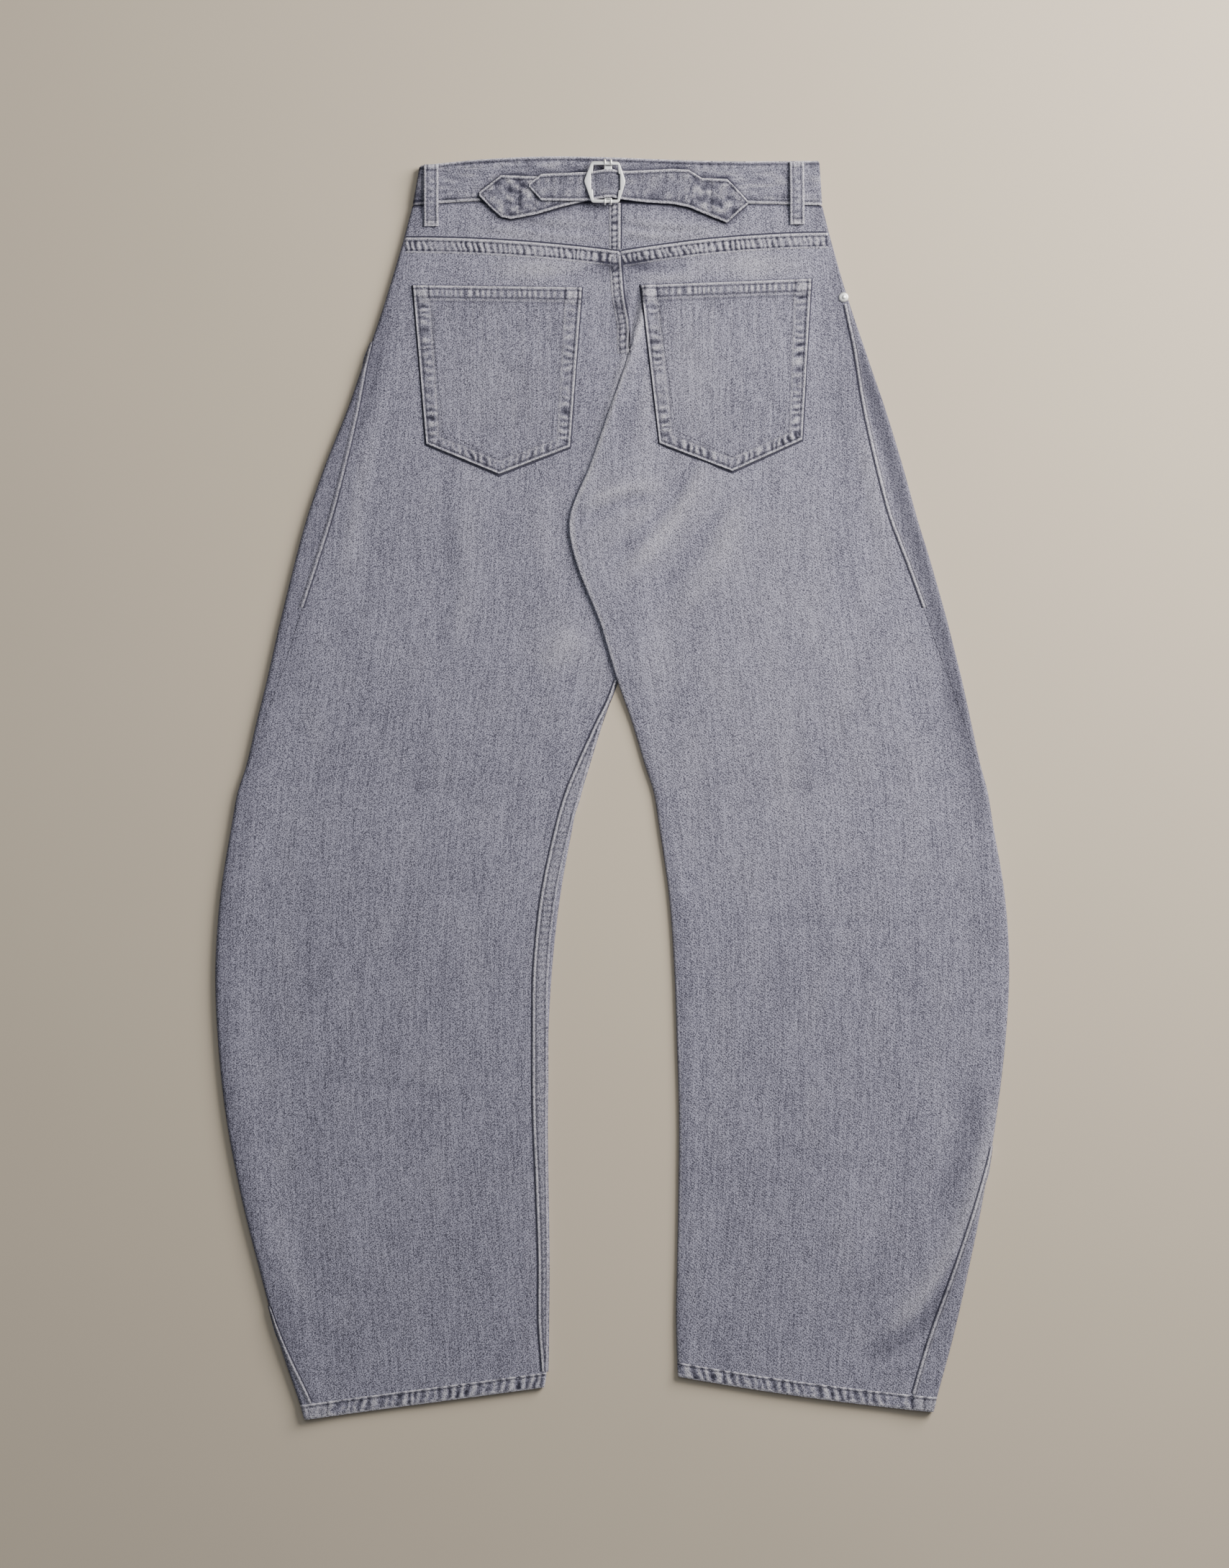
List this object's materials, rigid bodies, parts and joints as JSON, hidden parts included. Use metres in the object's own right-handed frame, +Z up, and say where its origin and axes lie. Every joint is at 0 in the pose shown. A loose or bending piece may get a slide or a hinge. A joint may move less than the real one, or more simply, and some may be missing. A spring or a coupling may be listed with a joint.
{
  "type": "jeans",
  "caption": "Grey denim barrel-leg jeans laid flat on their front, back uppermost, with yoke, patch pockets and a buckled back cinch.",
  "frame": {"origin": "middle of the laid garment, on the surface that it lies on", "axes": "+X towards the wearer's right side, +Y from the hems to the waist, +Z up from the surface, out of the garment's back"},
  "size_m": [0.6612, 1.0513, 0.0144],
  "materials": {
    "denim_grey": "matte twill",
    "nickel": "polished nickel plate"
  },
  "bodies": {
    "root": {"back_left": "denim_grey", "back_right": "denim_grey", "front_left": "denim_grey", "front_right": "denim_grey", "yoke_left": "denim_grey", "yoke_right": "denim_grey", "waistband": "denim_grey", "pocket_left": "denim_grey", "pocket_right": "denim_grey", "loop_back_left": "denim_grey", "loop_back_right": "denim_grey", "loop_front_left": "denim_grey", "loop_front_right": "denim_grey", "cinch_left": "denim_grey", "cinch_right": "denim_grey", "fly": "denim_grey", "buckle": "nickel", "buckle_bar": "nickel", "button": "nickel", "rivet": "nickel"}
  },
  "joints": []
}
